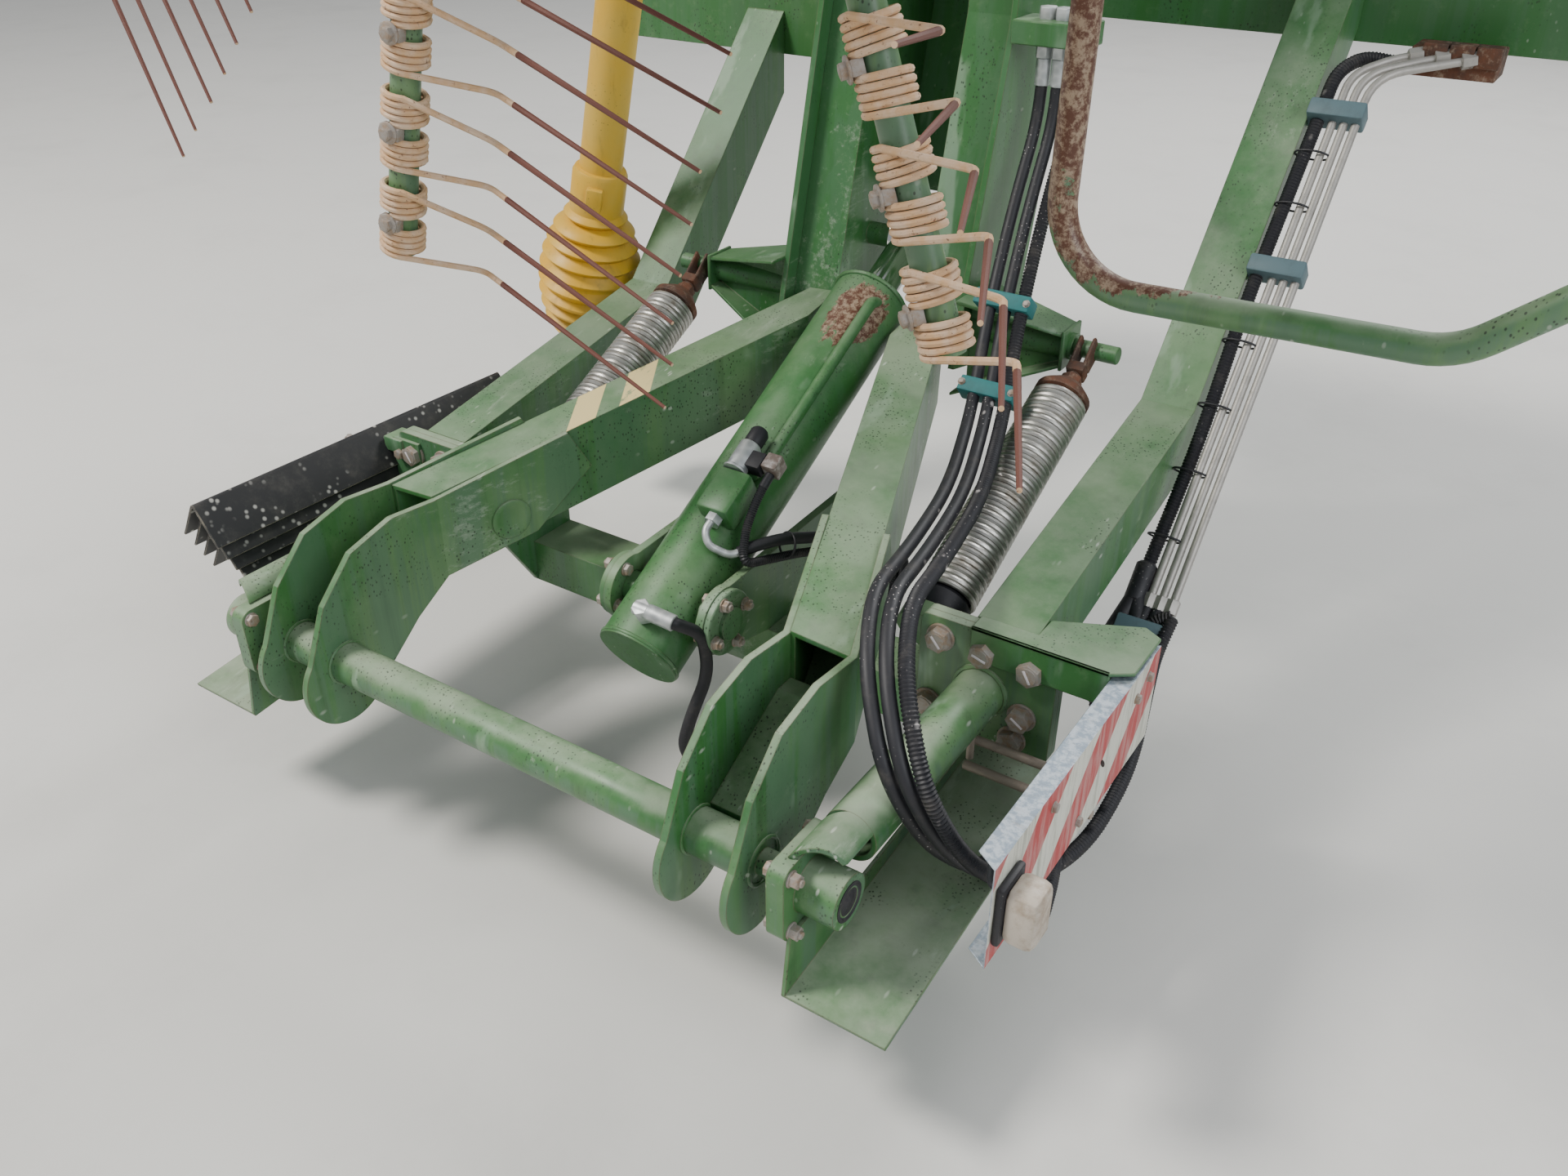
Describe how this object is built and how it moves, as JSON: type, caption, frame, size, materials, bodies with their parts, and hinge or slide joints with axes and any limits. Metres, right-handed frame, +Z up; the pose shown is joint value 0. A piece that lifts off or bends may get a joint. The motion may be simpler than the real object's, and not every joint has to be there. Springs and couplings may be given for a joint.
{
  "type": "folding rotor unit of a rotary rake",
  "caption": "Folding rotor unit of a rotary rake: beam bracket, gooseneck arm with lift cylinder, tined rotor on its running gear, folded for the road",
  "frame": {"origin": "middle of the bolting face on the far side of the main beam", "axes": "X along the main beam, +Y out of the bolting face into the machine, +Z up; the arm unfolds towards -Y"},
  "size_m": [3.4379, 2.2499, 4.1894],
  "materials": {
    "green_paint": "worn",
    "board_sheet": "worn",
    "lamp_lens": "dirty",
    "spring_steel": "satin",
    "chrome_rod": "polished",
    "arm_steel": "worn",
    "tine_wire": "worn",
    "rim_paint": "satin",
    "tyre": "matte"
  },
  "bodies": {
    "frame": {"main_beam": "green_paint", "beam_lower_box": "green_paint", "outer_beam_left": "green_paint", "outer_beam_right": "green_paint", "beam_flange_left": "green_paint", "beam_flange_right": "green_paint", "hinge_arm_left": "green_paint", "hinge_arm_right": "green_paint", "fold_bearing_left": "green_paint", "fold_bearing_right": "green_paint", "trunnion_lever_left": "green_paint", "trunnion_lever_right": "green_paint", "cradle_tube": "green_paint", "cradle_end_left": "green_paint", "cradle_end_right": "green_paint", "warning_board": "board_sheet", "board_bracket": "green_paint", "warning_lamp": "lamp_lens", "floor_guard_left": "green_paint", "floor_guard_right": "green_paint", "relief_spring_left": "spring_steel", "relief_spring_right": "spring_steel"},
    "arm": {"cross_tube": "green_paint", "fork_inner_left": "green_paint", "fork_outer_left": "green_paint", "fork_inner_right": "green_paint", "fork_outer_right": "green_paint", "fork_web_left": "green_paint", "fork_web_right": "green_paint", "yoke_box_left": "green_paint", "yoke_box_right": "green_paint", "column_side_left": "green_paint", "column_side_right": "green_paint", "column_leg_left": "green_paint", "column_leg_right": "green_paint", "column_upper": "green_paint", "column_back": "green_paint", "rotor_head": "green_paint", "gear_beam": "green_paint", "wheel_rocker_low": "green_paint", "wheel_rocker_high": "green_paint", "guard_hoop": "green_paint", "spring_tube_left": "green_paint", "spring_tube_right": "green_paint"},
    "barrel": {"lift_barrel": "green_paint"},
    "rod": {"lift_rod": "chrome_rod"},
    "rotor": {"rotor_drum": "green_paint", "tine_arms": "arm_steel", "tines": "tine_wire"},
    "wheel_1": {"tyre_1": "tyre", "rim_1": "rim_paint"},
    "wheel_2": {"tyre_2": "tyre", "rim_2": "rim_paint"},
    "wheel_3": {"tyre_3": "tyre", "rim_3": "rim_paint"},
    "wheel_4": {"tyre_4": "tyre", "rim_4": "rim_paint"}
  },
  "joints": [
    {"name": "fold", "type": "hinge", "parent": "frame", "child": "arm", "pos_m": [0, -2.05, -0.95], "axis": [1, 0, 0], "range_deg": [0, 90], "deforming": ["relief_spring_left", "relief_spring_right"]},
    {"name": "barrel_swing", "type": "hinge", "parent": "frame", "child": "barrel", "pos_m": [0, -1.625, -0.931], "axis": [1, 0, 0], "range_deg": [0, 97.67]},
    {"name": "rod_stroke", "type": "slide", "parent": "barrel", "child": "rod", "axis": [0, 0.8817, 0.4718], "range_m": [0, 0.58103]},
    {"name": "rotor_spin", "type": "hinge", "parent": "arm", "child": "rotor", "pos_m": [0, -1.75, 1.34], "axis": [0, -1, 0], "continuous": true},
    {"name": "wheel_1_spin", "type": "hinge", "parent": "arm", "child": "wheel_1", "pos_m": [-0.24, -2.05, 0.69], "axis": [0, 0, 1], "continuous": true},
    {"name": "wheel_2_spin", "type": "hinge", "parent": "arm", "child": "wheel_2", "pos_m": [0.24, -2.05, 0.69], "axis": [0, 0, 1], "continuous": true},
    {"name": "wheel_3_spin", "type": "hinge", "parent": "arm", "child": "wheel_3", "pos_m": [-0.24, -2.05, 1.99], "axis": [0, 0, 1], "continuous": true},
    {"name": "wheel_4_spin", "type": "hinge", "parent": "arm", "child": "wheel_4", "pos_m": [0.24, -2.05, 1.99], "axis": [0, 0, 1], "continuous": true}
  ],
  "couplings": [
    {"joint": "barrel_swing", "follows": "fold", "ratio": 1.0851},
    {"joint": "rod_stroke", "follows": "fold", "m_per_rad": 0.36977}
  ]
}
